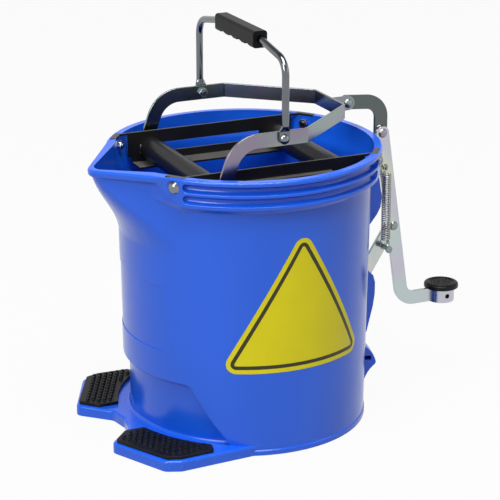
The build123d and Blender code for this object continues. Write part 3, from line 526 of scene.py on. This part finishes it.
# Yoke and pedal linkage: mild steel strap, bent cold and plated with passivated zinc, which leaves
# faint violet, green and yellow clouds on the grey. The lever and the nuts came from a brighter bath,
# the pull link from a duller one, and the pivots' heads are worn dull.
strap_rounding = 0.0006
lever_rounding = 0.00025
fastener_rounding = 0.0004
pivot_rounding = 0.0003
rolling_marks = 0.00002


def zinc(name, violet, green, yellow, dullness):
    """Passivated zinc whose clouds run between three tints."""
    plate = Finish(name, Metallic=1.0)
    cloud = plate.place.noise(15.0)
    drift = plate.place.stretched((26.0, 26.0, 14.0)).noise(1.0)
    rolling = plate.place.noise(700.0)
    greys = cloud.band(0.38, 0.62).tint(violet, green)
    plate.drive("Base Color", drift.band(0.50, 0.72).tint(greys, yellow))
    plate.drive("Roughness", dullness + 0.08 * drift + 0.04 * rolling)
    plate.bump(rolling, rolling_marks)
    return plate


zinc_strap = zinc("zinc_strap", (0.26, 0.225, 0.29), (0.235, 0.285, 0.285), (0.37, 0.38, 0.22), dullness=0.15)
zinc_lever = zinc("zinc_lever", (0.52, 0.49, 0.59), (0.48, 0.55, 0.55), (0.59, 0.59, 0.48), dullness=0.17)
zinc_link = zinc("zinc_link", (0.122, 0.118, 0.13), (0.11, 0.13, 0.126), (0.157, 0.16, 0.11), dullness=0.20)
zinc_head = zinc("zinc_head", (0.27, 0.265, 0.30), (0.25, 0.285, 0.285), (0.31, 0.31, 0.26), dullness=0.30)

for name in ("wringer_yoke", "pull_lug"):
    zinc_strap.coat(rounded(name, strap_rounding))
zinc_link.coat(rounded("pull_link", strap_rounding))
zinc_lever.coat(rounded("swing_link", strap_rounding))
zinc_lever.coat(rounded("pedal_lever", lever_rounding))
for name in ("rear_axle", "front_axle", "rear_axle_clips", "front_axle_nuts", "spring_stud", "spring_anchor"):
    zinc_strap.coat(rounded(name, fastener_rounding))
for name in ("frame_nuts", "handle_nuts", "pull_link_nut", "pedal_pivot_nut", "link_pivot_nut"):
    zinc_lever.coat(rounded(name, fastener_rounding))
for name in ("pull_link_bolt", "pull_link_rivet", "pedal_pivot_bolt", "link_pivot_bolt"):
    zinc_head.coat(rounded(name, pivot_rounding))

# Pedal pad: a cap of the same black rubber with raised rings to grip the shoe, plugged into the ring at
# the lever's end.
pad_rounding = 0.0003
pad_crease = math.radians(30)
pad_rings = 4
pad_boss = 0.6
pad_groove_depth = 0.0008
ring_top = 0.50
ring_side = 0.12
ring_gap = 0.26
level_face = 0.99

pad = rounded("pedal_pad", pad_rounding)
bpy.ops.object.mode_set(mode="EDIT")
bpy.ops.mesh.select_mode(type="FACE")
mesh = bmesh.from_edit_mesh(pad.data)
tread = max((face for face in mesh.faces if face.normal.z > level_face), key=lambda face: face.calc_area())
for face in mesh.faces:
    face.select_set(face == tread)
bmesh.update_edit_mesh(pad.data)
ring_step = math.sqrt(tread.calc_area() / math.pi) / (pad_rings + pad_boss)
for _ in range(pad_rings):
    bpy.ops.mesh.inset(thickness=ring_top * ring_step)
    bpy.ops.mesh.inset(thickness=ring_side * ring_step, depth=-pad_groove_depth)
    bpy.ops.mesh.inset(thickness=ring_gap * ring_step)
    bpy.ops.mesh.inset(thickness=ring_side * ring_step, depth=pad_groove_depth)
bpy.ops.object.mode_set(mode="OBJECT")
bpy.ops.object.shade_smooth_by_angle(angle=pad_crease)
rubber_black.coat(pad)

# Return spring: one drawn steel wire, wound in a close coil, with a hook at each end. The upper hook
# hangs on a rod at the shell and the lower one on the swing link's stud, so the coil stretches.
coil_axis = Vector((0.176497, -0.0106, 0.0))
coil_r = 0.0051
coil_foot = 0.184356
coil_pitch = 0.0022
coil_turns = 36.25
coil_head = coil_foot + coil_pitch * coil_turns
steps_per_turn = 24
wire_r = 0.0007
wire_sides = 8
wire_end_reach = 1.05 * wire_r
wire_crease = math.radians(60)
stud_z = 0.174556
stud_hook_r = 0.00335
rod_z = 0.272656
rod_hook_r = 0.0026
hook_turn = math.radians(235)
hook_steps = 16
bend_steps = 6
wire_dull = (0.34, 0.35, 0.34)
wire_bright = (0.50, 0.51, 0.50)

bpy.ops.object.select_all(action="DESELECT")
coil_start = coil_axis + Vector((0.0, coil_r, coil_foot))
on_edge = (0.0, math.pi / 2, 0.0)
bpy.ops.mesh.primitive_circle_add(vertices=wire_sides, radius=wire_r, location=coil_start, rotation=on_edge)
spring = bpy.context.object
spring.name = "return_spring_wire"
settle()
bpy.context.scene.cursor.location = coil_axis
bpy.ops.object.origin_set(type="ORIGIN_CURSOR")
winding = spring.modifiers.new("winding", "SCREW")
winding.angle = 2 * math.pi * coil_turns
winding.screw_offset = coil_pitch * coil_turns
winding.steps = int(steps_per_turn * coil_turns)
winding.render_steps = winding.steps
bpy.ops.object.modifier_apply(modifier="winding")
settle()


def select_near(piece, middle, reach):
    """Selects the points of a piece near a place, in edit mode."""
    mesh = bmesh.from_edit_mesh(piece.data)
    for point in mesh.verts:
        point.select_set((point.co - middle).length < reach)
    mesh.select_flush_mode()
    bmesh.update_edit_mesh(piece.data)


def hook(bend, axis, run, pin):
    """Turns the selected wire end off the coil, runs it straight to a pin and hooks it round."""
    bpy.ops.mesh.spin(steps=bend_steps, angle=math.pi / 2, center=bend, axis=axis)
    bpy.ops.mesh.extrude_region_move(TRANSFORM_OT_translate={"value": (0.0, 0.0, run)})
    bpy.ops.mesh.spin(steps=hook_steps, angle=hook_turn, center=pin, axis=axis)
    bpy.ops.mesh.edge_face_add()


bpy.ops.object.mode_set(mode="EDIT")
bpy.ops.mesh.select_mode(type="VERT")
select_near(spring, coil_start, wire_end_reach)
low_bend = coil_start - Vector((0.0, 0.0, stud_hook_r))
hook(low_bend, (0.0, 1.0, 0.0), stud_z - low_bend.z, Vector((coil_axis.x, coil_start.y, stud_z)))
coil_end = coil_axis + Vector((-coil_r, 0.0, coil_head))
select_near(spring, coil_end, wire_end_reach)
high_bend = coil_end + Vector((0.0, 0.0, rod_hook_r))
hook(high_bend, (-1.0, 0.0, 0.0), rod_z - high_bend.z, Vector((coil_end.x, coil_axis.y, rod_z)))
bpy.ops.mesh.select_all(action="SELECT")
bpy.ops.mesh.remove_doubles(threshold=join_reach)
# On a coil this can turn every face inwards, which a negative volume shows.
bpy.ops.mesh.normals_make_consistent(inside=False)
if bmesh.from_edit_mesh(spring.data).calc_volume(signed=True) < 0:
    bpy.ops.mesh.flip_normals()
bpy.ops.object.mode_set(mode="OBJECT")
bpy.ops.object.shade_smooth_by_angle(angle=wire_crease)
spring_wire = Finish("spring_wire", Metallic=1.0)
drawing = spring_wire.place.noise(300.0)
spring_wire.drive("Base Color", drawing.tint(wire_dull, wire_bright))
spring_wire.drive("Roughness", 0.20 + 0.15 * drawing)
spring_wire.coat(spring)
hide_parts("return_spring")
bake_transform(spring)


# Carrying handle and the large dome-headed bolts: round steel, chromium plated. The bar is bent to a
# bail, with its ends pressed flat for the bolts on the yoke. The bolts are cold-headed.
def chrome(name, thin, full, dullness):
    """Chromium plating that runs between a thin and a full tint."""
    plate = Finish(name, Metallic=1.0)
    plating = plate.place.noise(60.0, detail=3.0)
    plate.drive("Base Color", plating.tint(thin, full))
    plate.drive("Roughness", dullness + 0.09 * plating)
    return plate


dome_rounding = 0.0003
chrome_bar = chrome("chrome_bar", (0.14, 0.155, 0.17), (0.19, 0.20, 0.215), dullness=0.08)
chrome_head = chrome("chrome_head", (0.18, 0.195, 0.205), (0.25, 0.265, 0.27), dullness=0.18)
chrome_bar.coat(nodes["carry_handle"])
for name in ("handle_bolts", "frame_bolts"):
    chrome_head.coat(rounded(name, dome_rounding))

# Grip: black plastic moulded round the handle's bar, with finger scallops below and a fine leather
# grain all over.
grip_rounding = 0.00035
grip_deep = (0.004, 0.004, 0.005)
grip_worn = (0.009, 0.009, 0.010)
grip_grain = 0.00004

grip_black = Finish("grip_black", Specular_IOR_Level=0.08)
leather = grip_black.place.noise(1100.0, detail=3.0)
grip_cloud = grip_black.place.noise(60.0, detail=3.0)
grip_black.drive("Base Color", grip_cloud.tint(grip_deep, grip_worn))
grip_black.drive("Roughness", 0.28 + 0.16 * leather)
grip_black.bump(leather, grip_grain)
grip_black.coat(rounded("handle_grip", grip_rounding))

# Studio: a white floor that keeps the bucket's shadow, a sky that is white low down and dim above,
# three large soft lamps, and the camera.
floor_size = 24.0
floor_drop = 0.0004
floor_grey = (0.35, 0.35, 0.35, 1.0)
floor_glow = 0.95

bpy.ops.object.select_all(action="DESELECT")
bpy.ops.mesh.primitive_plane_add(size=floor_size, location=(0.0, 0.0, -floor_drop))
floor = bpy.context.object
floor.name = "studio_floor"
floor_white = Finish("floor_white", Roughness=0.9, Base_Color=floor_grey)
floor_white.coat(floor)


def seen_directly(tree):
    """1 for a ray from the camera or from a mirror or glass, and 0 for one that only lights."""
    path = tree.nodes.new("ShaderNodeLightPath")
    rays = [Wire(path.outputs[kind]) for kind in ("Is Camera Ray", "Is Glossy Ray", "Is Transmission Ray")]
    return rays[0].math("MINIMUM", rays[0] + rays[1] + rays[2], 1.0)


floor_tree = floor_white.material.node_tree
seen = seen_directly(floor_tree)
glow = seen.node("Emission", {}, {"Strength": 1.0})
surface = seen.node("MixShader", {}, {0: floor_glow * seen, 1: Wire(floor_white.shader.outputs[0]), 2: glow})
floor_tree.links.new(surface.socket, floor_tree.nodes["Material Output"].inputs["Surface"])

sky_light = 0.22
sky_low = 0.20
sky_high = 0.75
sky_dim = 0.22

world = bpy.data.worlds.new("studio")
bpy.context.scene.world = world
world.use_nodes = True
sky = world.node_tree.nodes["Background"]
sky.inputs["Color"].default_value = (1.0, 1.0, 1.0, 1.0)
up = Wire(world.node_tree.nodes.new("ShaderNodeTexCoord").outputs["Generated"]).part("Z")
shown = 1 - (1 - sky_dim) * up.band(sky_low, sky_high)
direct = seen_directly(world.node_tree)
strength = direct * shown + (1 - direct) * sky_light
world.node_tree.links.new(strength.socket, sky.inputs["Strength"])


def lamp(name, place, aim, size, watts):
    """Square soft lamp that faces a point."""
    light = bpy.data.lights.new(name, "AREA")
    light.shape = "SQUARE"
    light.size = size
    light.energy = watts
    piece = bpy.data.objects.new(name, light)
    bpy.context.scene.collection.objects.link(piece)
    piece.location = place
    piece.rotation_euler = (aim - piece.location).to_track_quat("-Z", "Y").to_euler()


middle = (cad_low + cad_high) / 2
lamp("key", (-2.0, -1.2, 1.7), middle, size=1.2, watts=42.0)
lamp("overhead", (-0.2, -0.6, 2.3), middle, size=1.5, watts=62.0)
lamp("fill", (1.9, -1.2, 1.3), middle, size=1.2, watts=5.0)

camera_place = (-0.9123, -2.0111, 0.9428)
camera_aim = Vector((0.00605, -0.00274, 0.1929))
eye = bpy.data.cameras.new("eye")
eye.lens = 147.5
eye.sensor_width = 36.0
camera = bpy.data.objects.new("eye", eye)
bpy.context.scene.collection.objects.link(camera)
camera.location = camera_place
gaze = camera_aim - camera.location
camera.rotation_euler = gaze.to_track_quat("-Z", "Y").to_euler()
bpy.context.scene.camera = camera
bpy.context.scene.view_settings.view_transform = "Standard"
